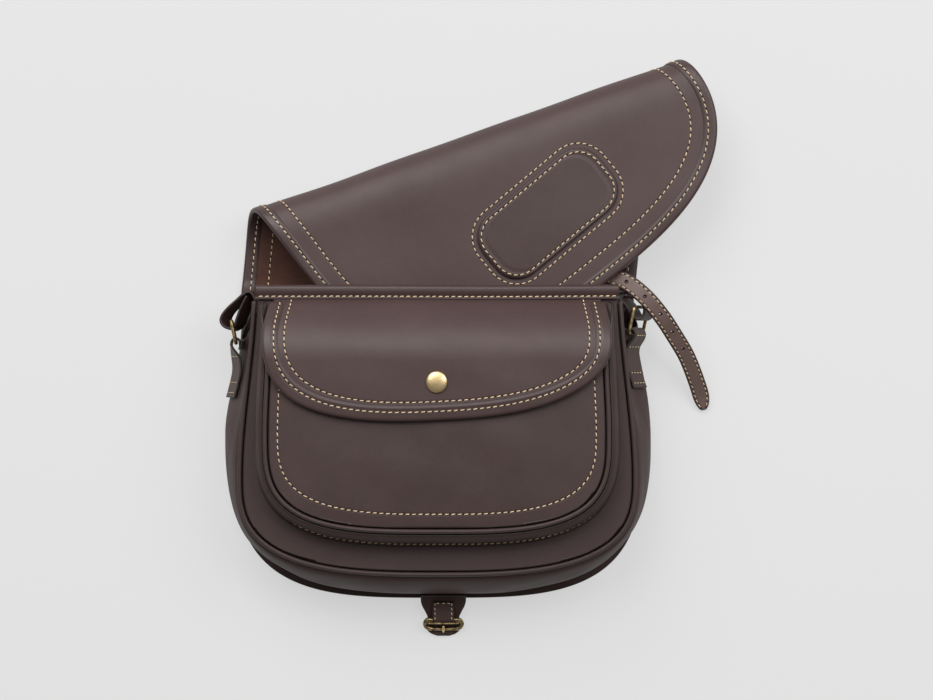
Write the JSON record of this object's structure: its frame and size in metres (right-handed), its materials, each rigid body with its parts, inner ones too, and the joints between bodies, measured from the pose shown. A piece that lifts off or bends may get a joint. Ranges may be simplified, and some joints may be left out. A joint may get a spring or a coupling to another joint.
{
  "type": "hunting game bag",
  "caption": "Leather hunting game bag lying on its back, flap folded askew into the mouth, with a snap front pocket, closing strap, buckle and shoulder strap",
  "frame": {"origin": "the centre of the back panel's resting face, on the surface the bag lies on", "axes": "+X runs across the bag to the wearer's right as the bag is seen from its front, +Y runs from the bottom to the mouth, +Z runs from the back panel to the front pocket"},
  "size_m": [0.3649, 0.4279, 0.0941],
  "materials": {
    "body_leather": "smooth dark chocolate-brown leather with a soft satin wax finish and cream stitching",
    "flap_leather": "the same smooth leather outside, with a reddish-brown suede flesh side inside",
    "trim_leather": "smooth brown leather in folded bindings, piping and tabs, slightly shinier on its edges",
    "strap_leather": "stitched strap leather with burnished darker edges",
    "antique_brass": "antique brass, darker in the recesses and bright on the worn edges"
  },
  "bodies": {
    "root": {"back_panel": "body_leather", "front_panel": "body_leather", "main_gusset": "body_leather", "front_piping": "trim_leather", "pocket_front": "body_leather", "pocket_piping": "trim_leather", "pocket_gusset": "body_leather", "pocket_flap": "body_leather", "pocket_flap_binding": "trim_leather", "pocket_snap": "antique_brass", "front_binding": "trim_leather", "flap": "flap_leather", "flap_binding": "trim_leather", "flap_patch": "body_leather", "closing_strap": "strap_leather", "shoulder_strap": "strap_leather", "ring_left": "antique_brass", "ring_right": "antique_brass", "ring_tab_left": "trim_leather", "ring_tab_right": "trim_leather", "buckle_guard": "strap_leather", "buckle_chape": "strap_leather", "buckle_frame": "antique_brass", "buckle_prong": "antique_brass"}
  },
  "joints": []
}
